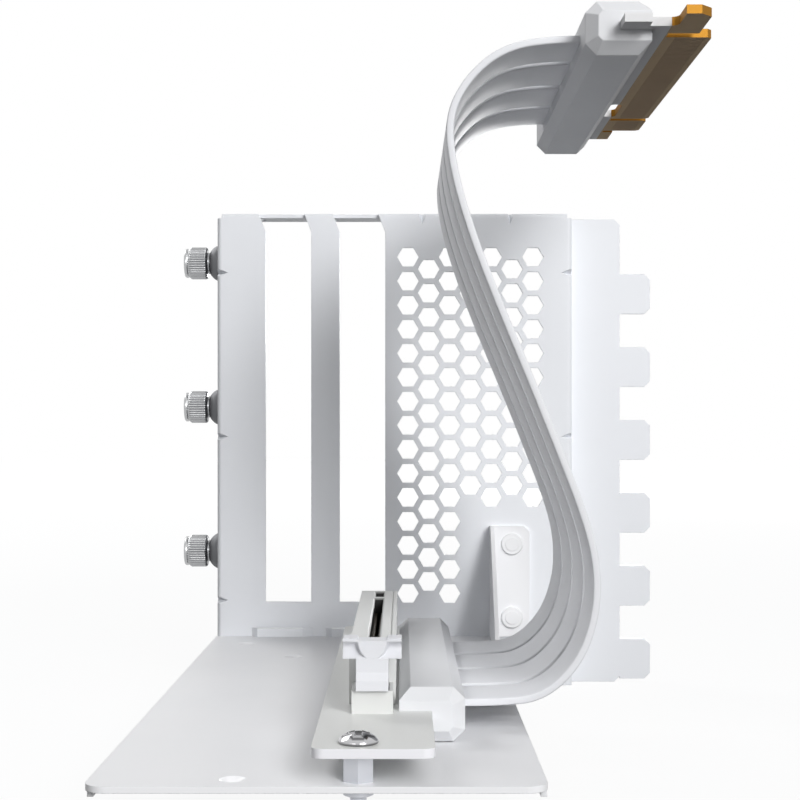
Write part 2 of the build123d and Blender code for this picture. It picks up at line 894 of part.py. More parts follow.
def bevel_ends(housing, board_side):
    # Both ends are bevelled on every side but the one towards the board
    for end in housing.faces().filter_by(Axis.Y):
        edges = end.edges().sort_by(Axis.X)
        chamfer(edges[3:] if board_side < 0 else edges[:-3], housing_end_chamfer)


def strip_ports(face_x, height, way):
    # Seats for the strips, sunk from the face at face_x
    with BuildSketch(facing_side(face_x)) as ports:
        for start, end in strip_spans:
            with Locations(((start + end) / 2, height)):
                Rectangle(end - start, strip_thick)
    extrude(ports.sketch, amount=way * strip_seat, mode=Mode.SUBTRACT)


with BuildPart() as lower_housing:
    housing_block(lower_housing_left, lower_housing_y, lower_housing_z, lower_housing_length)
    bevel_ends(lower_housing, -1)
    with BuildSketch(Plane.XY.offset(board_bottom)):
        with Locations((lower_housing_left, lower_housing_y)):
            Rectangle(board_right - lower_housing_left, lower_housing_length, align=(Align.MIN, Align.MIN))
    extrude(amount=board_thick, mode=Mode.SUBTRACT)
    strip_ports(lower_housing_right, route_points[0][1], -1)
finish(lower_housing, "lower_housing")

edge_datum_x = upper_housing_left
edge_datum_y = upper_housing_y
edge_board_bottom = upper_housing_z + (housing_height - board_thick) / 2

with BuildPart() as upper_housing:
    housing_block(upper_housing_left, upper_housing_y, upper_housing_z, upper_housing_length)
    bevel_ends(upper_housing, 1)
    with BuildSketch(Plane.XY.offset(edge_board_bottom)):
        with Locations((edge_datum_x + edge_board_left, edge_datum_y + edge_tab_front)):
            Rectangle(
                housing_width - edge_board_left,
                upper_housing_length - edge_tab_front,
                align=(Align.MIN, Align.MIN),
            )
    extrude(amount=board_thick, mode=Mode.SUBTRACT)
    strip_ports(upper_housing_left, route_points[-1][1], 1)
finish(upper_housing, "upper_housing")

# Ribbon strips

for number, (start, end) in enumerate(strip_spans, start=1):
    with BuildPart() as strip:
        with BuildSketch(facing_front(start)):
            with BuildLine():
                FilletPolyline(*route_points, radius=strip_radii)
            trace(line_width=strip_thick)
        extrude(amount=-(end - start))
    finish(strip, f"ribbon_strip_{number}")

# Card edge board, drawn from the upper housing's front left corner

with BuildPart() as edge_board:
    with BuildSketch(Plane((edge_datum_x, edge_datum_y, edge_board_bottom))) as edge_outline:
        tab_right = edge_board_left + edge_tab_width
        outline = [
            (edge_board_left, edge_tab_front),
            (tab_right, edge_tab_front),
            (tab_right, edge_step_front),
            (hook_inner, edge_step_front),
            (hook_inner, hook_front),
            (hook_outer - hook_bevel, hook_front),
            (hook_outer, hook_front + hook_bevel),
            (hook_outer, hook_rear),
            (finger_root, hook_rear),
            (finger_root, long_fingers_front),
            (finger_tip, long_fingers_front),
            (finger_tip, long_fingers_rear),
            (finger_root, long_fingers_rear),
            (finger_root, short_fingers_front),
            (finger_tip, short_fingers_front),
            (finger_tip, short_fingers_rear),
            (finger_root, short_fingers_rear),
            (finger_root, shoulder_front),
            (shoulder_tip, shoulder_front),
            (shoulder_tip, upper_housing_length),
            (edge_board_left, upper_housing_length),
        ]
        with BuildLine():
            Polyline(*outline, close=True)
        make_face()
        corners = edge_outline.vertices()
        tips = corners.group_by(Axis.X)[-1]
        hook_corner = corners.sort_by_distance((hook_inner, edge_step_front))[0]
        chamfer(tips, finger_corner)
        fillet(hook_corner, hook_inner_radius)
        with Locations((edge_hole_inset, edge_hole_from_front)):
            SlotOverall(edge_hole_length, edge_hole_width, rotation=90, mode=Mode.SUBTRACT)
    extrude(amount=board_thick)
finish(edge_board, "edge_board")

# Gold finger pads on both faces of the card edge

pad_x = edge_datum_x + finger_tip - finger_pad_tip_gap - finger_pad_length / 2
long_pads_y = edge_datum_y + (long_fingers_front + long_fingers_rear) / 2
short_pads_y = edge_datum_y + (short_fingers_front + short_fingers_rear) / 2
pad_faces = {
    "lower": edge_board_bottom - finger_pad_thick,
    "upper": edge_board_bottom + board_thick,
}
for name, bottom in pad_faces.items():
    with BuildPart() as fingers:
        with BuildSketch(Plane.XY.offset(bottom)):
            for centre, count in ((long_pads_y, long_contacts), (short_pads_y, short_contacts)):
                with Locations((pad_x, centre)):
                    with GridLocations(0, contact_pitch, 1, count):
                        Rectangle(finger_pad_length, finger_pad_width)
        extrude(amount=finger_pad_thick)
    finish(fingers, f"edge_fingers_{name}")
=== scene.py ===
import math

import bmesh
import bpy
import numpy as np
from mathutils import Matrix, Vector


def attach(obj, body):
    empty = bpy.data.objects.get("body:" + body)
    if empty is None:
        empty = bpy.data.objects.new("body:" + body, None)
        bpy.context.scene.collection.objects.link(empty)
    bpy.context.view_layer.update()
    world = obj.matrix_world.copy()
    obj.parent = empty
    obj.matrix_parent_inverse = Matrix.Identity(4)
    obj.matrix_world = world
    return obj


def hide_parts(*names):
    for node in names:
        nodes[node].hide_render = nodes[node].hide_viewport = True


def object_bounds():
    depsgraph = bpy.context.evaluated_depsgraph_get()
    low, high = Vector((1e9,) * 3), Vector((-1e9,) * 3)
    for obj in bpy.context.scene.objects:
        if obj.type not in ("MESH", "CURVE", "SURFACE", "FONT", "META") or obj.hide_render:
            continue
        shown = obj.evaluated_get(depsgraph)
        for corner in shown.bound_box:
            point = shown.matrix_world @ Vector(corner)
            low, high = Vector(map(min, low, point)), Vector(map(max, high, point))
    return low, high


# A vertical graphics card mount in white powder-coated steel, with its riser, on a pale floor.
# Lengths are in millimetres where a name ends in _mm, and in metres everywhere else.

MM = 0.001

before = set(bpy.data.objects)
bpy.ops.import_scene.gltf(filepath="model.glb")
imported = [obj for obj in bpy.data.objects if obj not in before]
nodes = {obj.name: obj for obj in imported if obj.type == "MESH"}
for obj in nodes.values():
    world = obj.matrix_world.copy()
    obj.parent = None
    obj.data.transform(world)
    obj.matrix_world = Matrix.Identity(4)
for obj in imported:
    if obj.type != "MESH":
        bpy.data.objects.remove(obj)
cad_low, cad_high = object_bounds()


# Helpers


def colour(code):
    """A six-digit sRGB hex code as linear red, green, blue and 1, by the sRGB curve."""
    values = []
    for start in (0, 2, 4):
        share = int(code[start : start + 2], 16) / 255
        values.append(share / 12.92 if share <= 0.04045 else ((share + 0.055) / 1.055) ** 2.4)
    return (*values, 1.0)


def add_node(tree, kind, sockets=(), links=(), **settings):
    """Adds one node, sets its settings and input values, and links outputs into its inputs."""
    made = tree.nodes.new(kind)
    for name, value in settings.items():
        setattr(made, name, value)
    for socket, value in dict(sockets).items():
        made.inputs[socket].default_value = value
    for socket, source in dict(links).items():
        tree.links.new(source, made.inputs[socket])
    return made


def mesh_piece(name, points, faces, material, body="mount", smooth=True):
    """A mesh object at the origin, with outward faces and one material, that rides on a body."""
    mesh = bpy.data.meshes.new(name)
    mesh.from_pydata(points, [], faces)
    shell = bmesh.new()
    shell.from_mesh(mesh)
    bmesh.ops.recalc_face_normals(shell, faces=shell.faces)
    shell.to_mesh(mesh)
    shell.free()
    if smooth:
        mesh.shade_smooth()
    else:
        mesh.shade_flat()
    mesh.materials.append(material)
    piece = bpy.data.objects.new(name, mesh)
    bpy.context.collection.objects.link(piece)
    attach(piece, body)
    return piece


def angles_round(count):
    """Angles spaced evenly round a full turn, from 0."""
    return np.arange(count) * 2 * math.pi / count


def grid_faces(rows, columns):
    """Quads between neighbouring rows of a grid whose columns close on themselves."""
    row = np.arange(rows - 1)[:, None] * columns
    column = np.arange(columns)[None, :]
    following = (column + 1) % columns
    corners = (row + column, row + following, row + columns + following, row + columns + column)
    return np.stack(corners, axis=-1).reshape(-1, 4).tolist()


# Materials

metal_from = 0.2
metal_sheen_level = 0.5
gloss_spread = 0.1
bevel_samples = 4


def finish(
    name,
    shade,
    worn_shade,
    roughness,
    metallic=0.0,
    grain_mm=0.8,
    grain_height_mm=0.004,
    cloud_mm=30.0,
    edge_mm=0.0,
    sheen_level=0.25,
):
    """A finish with a fine surface grain, a slow drift of tone and gloss, and softened edges."""
    made = bpy.data.materials.new(name)
    made.use_nodes = True
    tree = made.node_tree
    shader = tree.nodes["Principled BSDF"]
    level = metal_sheen_level if metallic > metal_from else sheen_level
    shader.inputs["Metallic"].default_value = metallic
    shader.inputs["Specular IOR Level"].default_value = level
    place = add_node(tree, "ShaderNodeTexCoord").outputs["Object"]
    cloud = add_node(
        tree,
        "ShaderNodeTexNoise",
        {"Scale": 1 / (cloud_mm * MM), "Detail": 3.0, "Roughness": 0.55},
        {"Vector": place},
    )
    tone = add_node(
        tree,
        "ShaderNodeMix",
        {"A": colour(shade), "B": colour(worn_shade)},
        {"Factor": cloud.outputs["Fac"]},
        data_type="RGBA",
    )
    gloss = add_node(
        tree,
        "ShaderNodeMapRange",
        {"To Min": roughness * (1 - gloss_spread), "To Max": roughness * (1 + gloss_spread)},
        {"Value": cloud.outputs["Fac"]},
    )
    grain = add_node(
        tree,
        "ShaderNodeTexNoise",
        {"Scale": 1 / (grain_mm * MM), "Detail": 2.0},
        {"Vector": place},
    )
    bump = add_node(
        tree,
        "ShaderNodeBump",
        {"Distance": grain_height_mm * MM, "Strength": 1.0},
        {"Height": grain.outputs["Fac"]},
    )
    if edge_mm:
        edge = add_node(
            tree, "ShaderNodeBevel", {"Radius": edge_mm * MM}, samples=bevel_samples
        )
        tree.links.new(edge.outputs["Normal"], bump.inputs["Normal"])
    tree.links.new(tone.outputs["Result"], shader.inputs["Base Color"])
    tree.links.new(gloss.outputs["Result"], shader.inputs["Roughness"])
    tree.links.new(bump.outputs["Normal"], shader.inputs["Normal"])
    return made


def finish_parts(made):
    """A finish's node tree, its shader and the socket that its base colour comes from."""
    tree = made.node_tree
    shader = tree.nodes["Principled BSDF"]
    return tree, shader, shader.inputs["Base Color"].links[0].from_socket


def on_a_face(tree, least_upright):
    """1 where the normal's Z, without its sign, passes a limit, and 0 on the upright cut edges."""
    facing = add_node(tree, "ShaderNodeNewGeometry").outputs["Normal"]
    upright = add_node(tree, "ShaderNodeSeparateXYZ", links={0: facing}).outputs["Z"]
    flat = add_node(tree, "ShaderNodeMath", links={0: upright}, operation="ABSOLUTE").outputs[0]
    return add_node(
        tree, "ShaderNodeMath", {1: least_upright}, {0: flat}, operation="GREATER_THAN"
    ).outputs[0]


def within(tree, place, middle_mm, half_mm):
    """1 where a coordinate lies no further than a half width from a middle, and 0 elsewhere."""
    return add_node(
        tree,
        "ShaderNodeMath",
        {1: middle_mm * MM, 2: half_mm * MM},
        {0: place},
        operation="COMPARE",
    ).outputs[0]


# Powder-coated steel: an even white film, satin, with a faint orange peel and full rounded edges
powder_coat = finish("powder_coated_steel", "f3f5f9", "eff1f5", 0.4, grain_mm=1.1, edge_mm=0.25)

# The base is coated in its own batch, a shade warmer and with a little more sheen
base_coat = finish(
    "powder_coated_base", "f5f5f7", "f0f1f3", 0.38, grain_mm=1.1, edge_mm=0.2, sheen_level=0.4
)

# The rivets are set after coating and touched up, so they are a shade whiter and glossier
coated_rivet = finish("coated_rivet_steel", "f6f6f7", "f0f1f3", 0.32, edge_mm=0.2)

# Zinc-plated steel: dull grey, turned, so light runs round it
zinc_plate = finish(
    "zinc_plated_steel",
    "848588",
    "737477",
    0.62,
    metallic=0.6,
    grain_mm=0.4,
    grain_height_mm=0.001,
)

cut_board_from_upright = 0.7


def board_finish():
    """White solder mask on the faces, and a paler white painted on the cut edges as a highlight."""
    made = finish("white_solder_mask", "e2e3e1", "dddedc", 0.32, grain_mm=1.6, edge_mm=0.15)
    tree, shader, mask_tone = finish_parts(made)
    # Painted highlight: the upright cut edges get a paler white than the faces
    tone = add_node(
        tree,
        "ShaderNodeMix",
        {"A": colour("f6f6fa")},
        {"Factor": on_a_face(tree, cut_board_from_upright), "B": mask_tone},
        data_type="RGBA",
    )
    tree.links.new(tone.outputs["Result"], shader.inputs["Base Color"])
    return made


# Solder mask on glass-epoxy board: white, smooth, a little glossy, with a painted highlight on its
# cut edges
solder_mask = board_finish()

card_x_mm = 41.45
slot_top_mm = -45.85
# Where the painted shade inside the card groove lies, and how near black it goes
groove_middle_mm = -101.0
groove_half_length_mm = 43.1
groove_reach_mm = 1.3
groove_fade_mm = 0.6
groove_painted_shade = 0.96


def slot_body():
    """Off-white polymer, with painted shade that turns it near black inside the card groove, below
    its lip.
    """
    made = finish("connector_polymer", "dedfdd", "d7d8d7", 0.45, grain_mm=0.5, edge_mm=0.15)
    tree, shader, body_tone = finish_parts(made)
    place = add_node(tree, "ShaderNodeTexCoord").outputs["Object"]
    axes = add_node(tree, "ShaderNodeSeparateXYZ", links={0: place}).outputs
    across = within(tree, axes["X"], card_x_mm, groove_reach_mm)
    along = within(tree, axes["Y"], groove_middle_mm, groove_half_length_mm)
    sunk = add_node(
        tree,
        "ShaderNodeMapRange",
        {
            "From Min": slot_top_mm * MM,
            "From Max": (slot_top_mm - groove_fade_mm) * MM,
            "To Min": 0.0,
            "To Max": groove_painted_shade,
        },
        {"Value": axes["Z"]},
    )
    over_groove = add_node(
        tree, "ShaderNodeMath", links={0: across, 1: along}, operation="MULTIPLY"
    )
    dark = add_node(
        tree,
        "ShaderNodeMath",
        links={0: over_groove.outputs[0], 1: sunk.outputs["Result"]},
        operation="MULTIPLY",
    )
    # Painted shade: inside the groove the polymer is mixed towards near black
    tone = add_node(
        tree,
        "ShaderNodeMix",
        {"B": colour("1b1a19")},
        {"Factor": dark.outputs[0], "A": body_tone},
        data_type="RGBA",
    )
    tree.links.new(tone.outputs["Result"], shader.inputs["Base Color"])
    return made


# Liquid crystal polymer: moulded, off-white, fine-grained and nearly matt, with painted shade in
# the card groove
connector_polymer = slot_body()

# Nylon: moulded, white, with soft edges
latch_nylon = finish("latch_nylon", "e2e3e7", "dcdde1", 0.4, grain_mm=0.7, edge_mm=0.2)

# Nickel-plated brass standoff: pale and satin, with sharp hexagon edges
standoff_plate = finish(
    "nickel_plated_brass",
    "d6d8de",
    "c8cad0",
    0.3,
    metallic=0.6,
    grain_mm=0.6,
    grain_height_mm=0.001,
)

# ABS: moulded, white, with the fine grain of a spark-eroded mould
housing_abs = finish(
    "moulded_abs", "e3e4e6", "dcdde0", 0.42, grain_mm=0.6, edge_mm=0.3, sheen_level=0.03
)

# PVC jacket: matt white, drawn lengthwise over the row of wires
ribbon_pvc = finish("ribbon_pvc_jacket", "e6e7ea", "dfe0e4", 0.5, grain_mm=0.9)

# Gold flash over nickel on the finger pads: thin, painted tan and barely metallic as painted shade,
# for how it looks from below
shaded_finger_gold = finish(
    "gold_flashed_pads",
    "b39d83",
    "a7927a",
    0.4,
    metallic=0.1,
    grain_height_mm=0.001,
    sheen_level=0.0,
)

# Gold-plated spring contacts deep in the slot, painted a dark brown gold as painted shade, since
# they lie in shade
shaded_contact_gold = finish(
    "gold_plated_springs", "4a3a22", "3b2e1b", 0.4, metallic=0.6, grain_height_mm=0.001
)


def metal_with_painted_shade(name, bright, dark, roughness):
    """Plated steel with painted shade and painted reflection: its colour goes from bright to dark
    by a mesh's groove attribute.
    """
    made = finish(
        name, bright, bright, roughness, metallic=1.0, grain_mm=0.5, grain_height_mm=0.001
    )
    tree, shader, _ = finish_parts(made)
    depth = add_node(tree, "ShaderNodeAttribute", attribute_name="groove")
    film = add_node(
        tree,
        "ShaderNodeMix",
        {"A": colour(bright), "B": colour(dark)},
        {"Factor": depth.outputs["Fac"]},
        data_type="RGBA",
    )
    tree.links.new(film.outputs["Result"], shader.inputs["Base Color"])
    return made


# Nickel-plated steel: bright and neutral, with painted shade at the foot of the knurl's grooves
nickel_plate = metal_with_painted_shade("nickel_plated_steel", "b9babb", "6d6e71", 0.26)

# Chromed steel screw head: mirror bright, with painted shade in its recess and under its head, and
# a painted dark reflection in a ring round its crown
chrome_plate = metal_with_painted_shade("chromed_steel", "c4c4c6", "1e1f21", 0.1)

gold_from_mm = 95.5
gold_border_mm = 0.05
gold_face_from_upright = 0.5
cut_gold_metal = 0.35
face_gold_metal = 0.1


def card_edge():
    """White solder mask that gives way to gold: more metallic on the cut edges, and a painted
    shaded copy, tan and barely metallic, on the two faces.
    """
    made = finish("card_edge_board", "e6e6e7", "dfdfe0", 0.4, grain_mm=1.6, sheen_level=0.0)
    tree, shader, mask_tone = finish_parts(made)
    place = add_node(tree, "ShaderNodeTexCoord").outputs["Object"]
    across = add_node(tree, "ShaderNodeSeparateXYZ", links={0: place}).outputs["X"]
    plated = add_node(
        tree,
        "ShaderNodeMapRange",
        {
            "From Min": (gold_from_mm - gold_border_mm) * MM,
            "From Max": (gold_from_mm + gold_border_mm) * MM,
        },
        {"Value": across},
    ).outputs["Result"]
    face = on_a_face(tree, gold_face_from_upright)
    # Painted shade: the faces get a tan, barely metallic copy of the gold on the cut edges
    gold = add_node(
        tree,
        "ShaderNodeMix",
        {"A": colour("9a6d2a"), "B": colour("b39d80")},
        {"Factor": face},
        data_type="RGBA",
    )
    whole = add_node(
        tree,
        "ShaderNodeMix",
        links={"Factor": plated, "A": mask_tone, "B": gold.outputs["Result"]},
        data_type="RGBA",
    )
    shine = add_node(
        tree,
        "ShaderNodeMapRange",
        {"To Min": cut_gold_metal, "To Max": face_gold_metal},
        {"Value": face},
    )
    metal = add_node(
        tree,
        "ShaderNodeMath",
        links={0: plated, 1: shine.outputs["Result"]},
        operation="MULTIPLY",
    )
    tree.links.new(whole.outputs["Result"], shader.inputs["Base Color"])
    tree.links.new(metal.outputs[0], shader.inputs["Metallic"])
    return made


# Hard gold over nickel on the card edge, where the board's white mask ends, with painted shade on
# its faces
card_edge_board = card_edge()

node_finishes = {
    "rear_plate": powder_coat,
    "base_plate": base_coat,
    "rivet_upper": coated_rivet,
    "rivet_lower": coated_rivet,
    "riser_board": solder_mask,
    "gpu_slot": connector_polymer,
    "slot_contacts_left": shaded_contact_gold,
    "slot_contacts_right": shaded_contact_gold,
    "standoff_front": standoff_plate,
    "standoff_rear": standoff_plate,
    "lower_housing": housing_abs,
    "upper_housing": housing_abs,
    "edge_board": card_edge_board,
    "edge_fingers_lower": shaded_finger_gold,
    "edge_fingers_upper": shaded_finger_gold,
}
for node_name, material in node_finishes.items():
    piece = nodes[node_name]
    piece.data.materials.clear()
    piece.data.materials.append(material)


# Ribbon lead

housing_face_mm = 58.2
ribbon_height_mm = -57.95
ribbon_route_mm = (
    (-1.5, 0.0),
    (7.0, 0.0),
    (15.3, 0.9),
    (22.1, 7.4),
    (25.3, 16.4),
    (25.5, 25.6),
    (23.3, 34.7),
    (18.1, 48.1),
    (12.6, 61.8),
    (6.6, 76.1),
    (1.2, 90.2),
    (-2.1, 102.3),
    (-2.6, 111.2),
    (1.2, 118.3),
    (7.4, 123.4),
    (15.7, 125.25),
    (23.7, 125.25),
)
strip_spans_mm = ((-139.2, -124.7), (-122.1, -104.6), (-102.0, -84.5), (-81.9, -64.4))
strip_thick_mm = 1.45
strip_corner_mm = 0.35

# The route is a smooth spline that bends through the S, from inside one housing into the other
route_steps = 20
route_order = 3
route_curve = bpy.data.curves.new("ribbon_route", "CURVE")
route_curve.dimensions = "3D"
route_curve.resolution_u = route_steps
route_spline = route_curve.splines.new("NURBS")
route_spline.points.add(len(ribbon_route_mm) - 1)
for point, (x_mm, z_mm) in zip(route_spline.points, ribbon_route_mm):
    point.co = ((housing_face_mm + x_mm) * MM, 0.0, (ribbon_height_mm + z_mm) * MM, 1.0)
route_spline.order_u = route_order
route_spline.use_endpoint_u = True
route_object = bpy.data.objects.new("ribbon_route", route_curve)
route_mesh = bpy.data.meshes.new_from_object(route_object)
route_line = np.array([vertex.co[:] for vertex in route_mesh.vertices])
bpy.data.objects.remove(route_object)
bpy.data.meshes.remove(route_mesh)


def strip_section(width, thick, corner, steps=5):
    """A rounded rectangle as offsets across and through the strip: four quarter circles in turn."""
    quarter = np.linspace(0, math.pi / 2, steps)
    across, through = [], []
    for turn, (side, face) in enumerate(((1, 1), (-1, 1), (-1, -1), (1, -1))):
        angle = quarter + turn * math.pi / 2
        across.append(side * (width / 2 - corner) + corner * np.cos(angle))
        through.append(face * (thick / 2 - corner) + corner * np.sin(angle))
    return np.concatenate(across), np.concatenate(through)


def ribbon_strip(name, node, start_mm, end_mm):
    """A flat strip: the rounded section carried along the route, thick along the route's normal."""
    tangent = np.gradient(route_line, axis=0)
    tangent /= np.linalg.norm(tangent, axis=1, keepdims=True)
    normal = np.stack((-tangent[:, 2], tangent[:, 1], tangent[:, 0]), axis=1)
    width = (end_mm - start_mm) * MM
    across, through = strip_section(width, strip_thick_mm * MM, strip_corner_mm * MM)
    middle = route_line + np.array((0.0, (start_mm + end_mm) / 2 * MM, 0.0))
    sideways = np.array((0.0, 1.0, 0.0))
    points = (
        middle[:, None, :]
        + across[None, :, None] * sideways
        + through[None, :, None] * normal[:, None, :]
    )
    rows, columns = points.shape[:2]
    faces = grid_faces(rows, columns)
    faces.append(list(range(columns))[::-1])
    faces.append(list(range((rows - 1) * columns, rows * columns)))
    strip = mesh_piece(name, points.reshape(-1, 3), faces, ribbon_pvc)
    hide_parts(node)


for number, (start_mm, end_mm) in enumerate(strip_spans_mm, start=1):
    ribbon_strip(f"ribbon_jacket_{number}", f"ribbon_strip_{number}", start_mm, end_mm)


# Turned and threaded pieces


def turned_grid(stations_mm, radii_mm, angles, axis, centre_mm):
    """Points of a turned surface: each station along the axis has a radius at every angle."""
    rays = np.stack((np.cos(angles), np.sin(angles)), axis=-1)
    around = radii_mm[:, :, None] * rays[None, :, :]
    along = np.broadcast_to(stations_mm[:, :, None], radii_mm.shape + (1,))
    if axis == "X":
        points = np.concatenate((along, around), axis=-1)
    else:
        points = np.concatenate((around, along), axis=-1)
    return (points + np.array(centre_mm)) * MM


def turned_piece(name, node, body, material, stations_mm, radii_mm, groove, axis, centre_mm):
    """A closed turned piece: rings joined by quads, the two end rings closed by one point each."""
    rows, columns = radii_mm.shape
    stations_mm = np.broadcast_to(stations_mm, radii_mm.shape)
    rings = turned_grid(stations_mm, radii_mm, angles_round(columns), axis, centre_mm)
    rings = rings.reshape(-1, 3)
    ends = np.stack((rings[:columns].mean(axis=0), rings[-columns:].mean(axis=0)))
    column = np.arange(columns)
    following = (column + 1) % columns
    last = (rows - 1) * columns
    first_point = np.full(columns, rows * columns)
    last_point = first_point + 1
    faces = grid_faces(rows, columns)
    faces += np.stack((first_point, following, column), axis=-1).tolist()
    faces += np.stack((last_point, last + column, last + following), axis=-1).tolist()
    piece = mesh_piece(name, np.concatenate((rings, ends)).tolist(), faces, material, body)
    # The groove attribute holds painted shade and painted reflection, from 0 to 1, for the metal's
    # colour
    shade = piece.data.attributes.new("groove", "FLOAT", "POINT")
    depth = np.concatenate((np.broadcast_to(groove, radii_mm.shape).ravel(), groove[[0, -1], 0]))
    shade.data.foreach_set("value", depth.astype(np.float32))
    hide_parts(node)


def cross_outline(angles, arm_mm, half_width_mm):
    """
    The outline of a cross recess along each ray from the middle: the nearer of the side of an
    arm, half width over the sine of the angle to it, and its end, arm over the cosine.
    """
    from_arm = np.abs((angles + math.pi / 4) % (math.pi / 2) - math.pi / 4)
    side = half_width_mm / np.maximum(np.sin(from_arm), 1e-6)
    end = arm_mm / np.cos(from_arm)
    return np.minimum(side, end)


def rounded_corners(corners, round_mm, most_of_side=0.45, steps=4):
    """A profile with each inner corner a quadratic curve between two points set back from it."""
    corners = np.array(corners, dtype=float)
    line = [corners[0]]
    for before, corner, after in zip(corners, corners[1:], corners[2:]):
        into, out = corner - before, after - corner
        into_length, out_length = np.linalg.norm(into), np.linalg.norm(out)
        back = min(round_mm, most_of_side * into_length, most_of_side * out_length)
        start = corner - into / into_length * back
        end = corner + out / out_length * back
        share = np.linspace(0, 1, steps)[:, None]
        line.extend((1 - share) ** 2 * start + 2 * share * (1 - share) * corner + share**2 * end)
    line.append(corners[-1])
    return np.array(line)


def vee_thread(stations_mm, angles, pitch_mm, root_share, flank_share):
    """
    A vee thread's height from 0 to 1: a triangle wave of the station less the angle's part of a
    pitch, cut flat at the root and at the crest.
    """
    turn = (stations_mm / pitch_mm - angles[None, :] / (2 * math.pi)) % 1.0
    return np.clip((np.abs(2 * turn - 1) - root_share) / flank_share, 0, 1)


knurl_count = 40
columns_per_flute = 6
flutes_from_mm = -13.4
flute_floor_mm = 3.86
flute_runout_mm = 0.3
flute_deep_mm = 0.26
flute_narrowness = 1.6
# The next value is the painted shade at the foot of the flutes
flute_painted_shade = 0.9
screw_end_mm = -14.4
screw_face_mm = 3.5
screw_face_shares = (0.3, 0.7)
screw_cross_mm = (2.1, 0.45)
# A recess is a row of rings: each ring's share of the way out to the cross's outline, how deep it
# lies, and how dark its painted shade is there
screw_recess = np.array(
    (
        (0.15, 1.2, 0.9),
        (0.5, 1.2, 0.9),
        (0.82, 1.15, 0.8),
        (0.97, 0.15, 0.4),
        (1.0, 0.0, 0.1),
    )
)
screw_profile_mm = (
    (screw_end_mm, 3.85),
    (-14.15, 4.1),
    (-13.55, 4.1),
    (flutes_from_mm, 3.88),
    (-12.6, 4.5),
    (-8.5, 4.5),
    (-8.1, 4.15),
    (-8.0, 3.0),
    (-7.35, 3.0),
    (-7.35, 1.35),
    (-2.9, 1.35),
)
screw_corner_mm = 0.16
neck_span_mm = (-8.2, -7.3)
# Painted shade on the neck, over the rest of the body, and on the plain faces
neck_painted_shade = 0.6
least_painted_shade = 0.05
faint_painted_shade = 0.1
thread_pitch_mm = 25.4 / 32
thread_from_mm = -2.8
thread_to_mm = 3.25
thread_root_mm = 1.3
thread_high_mm = 0.45
thread_outer_mm = 1.75
thread_root_share = 0.25
thread_flank_share = 0.625
thread_tip_mm = 1.2
# The next value is the painted shade in the thread roots
thread_root_painted_shade = 0.75
rows_per_pitch = 8
screw_heights_mm = {"upper": 40.64, "middle": 0.0, "lower": -40.64}


def thumbscrew(name, height_mm):
    """A thumbscrew: cross recess, rim, fluted head, neck, shank and a vee thread along a helix."""
    columns = knurl_count * columns_per_flute
    angles = angles_round(columns)
    cross = cross_outline(angles, *screw_cross_mm)
    recess_radii = screw_recess[:, :1] * cross[None, :]
    recess_stations = np.broadcast_to(screw_end_mm + screw_recess[:, 1:2], recess_radii.shape)
    face_share = np.array(screw_face_shares)[:, None]
    face_radii = cross[None, :] * (1 - face_share) + screw_face_mm * face_share
    face_stations = np.full(face_radii.shape, screw_end_mm)

    profile = rounded_corners(screw_profile_mm, screw_corner_mm)
    body_stations = np.broadcast_to(profile[:, :1], (len(profile), columns))
    fluted = np.clip((profile[:, 1:] - flute_floor_mm) / flute_runout_mm, 0, 1)
    fluted = fluted * (profile[:, :1] > flutes_from_mm)
    flute = (0.5 + 0.5 * np.cos(angles * knurl_count)) ** flute_narrowness
    body_radii = profile[:, 1:] - flute_deep_mm * fluted * flute[None, :]
    in_neck = (profile[:, :1] > neck_span_mm[0]) & (profile[:, :1] < neck_span_mm[1])
    body_painted_shade = np.where(in_neck, neck_painted_shade, least_painted_shade)

    thread_rows_mm = np.arange(thread_from_mm, thread_to_mm, thread_pitch_mm / rows_per_pitch)
    thread_rows_mm = thread_rows_mm[:, None]
    crest = vee_thread(
        thread_rows_mm, angles, thread_pitch_mm, thread_root_share, thread_flank_share
    )
    fade = np.clip((thread_rows_mm - thread_from_mm) / thread_pitch_mm, 0, 1)
    tip = np.minimum(thread_outer_mm, thread_root_mm + (thread_to_mm - thread_rows_mm))
    thread_radii = np.minimum(thread_root_mm + thread_high_mm * crest * fade, tip)
    thread_stations = np.broadcast_to(thread_rows_mm, thread_radii.shape)
    end_radii = np.full((1, columns), thread_tip_mm)
    end_stations = np.full((1, columns), thread_to_mm)

    # Painted shade: darkest in the recess, the flutes, the neck and the thread roots
    groove = (
        np.broadcast_to(screw_recess[:, 2:], recess_radii.shape),
        np.full(face_radii.shape, faint_painted_shade),
        np.clip(fluted * flute[None, :] * flute_painted_shade + body_painted_shade, 0, 1),
        thread_root_painted_shade * (1 - crest),
        np.full((1, columns), faint_painted_shade),
    )
    turned_piece(
        f"fluted_thumbscrew_{name}",
        f"thumbscrew_{name}",
        f"screw_{name}",
        nickel_plate,
        np.concatenate(
            (recess_stations, face_stations, body_stations, thread_stations, end_stations)
        ),
        np.concatenate((recess_radii, face_radii, body_radii, thread_radii, end_radii)),
        np.concatenate(groove),
        "X",
        (0.0, 0.0, height_mm),
    )


ferrule_columns = 96
ferrule_bore_mm = 1.43
ferrule_inside_mm = -3.0
ferrule_foot_mm = 2.9
ferrule_face_mm = -7.25
dome_steps = 18
dome_length_mm = 3.25
dome_face_mm = 3.3
dome_flare_mm = 1.8
dome_power = 2.6


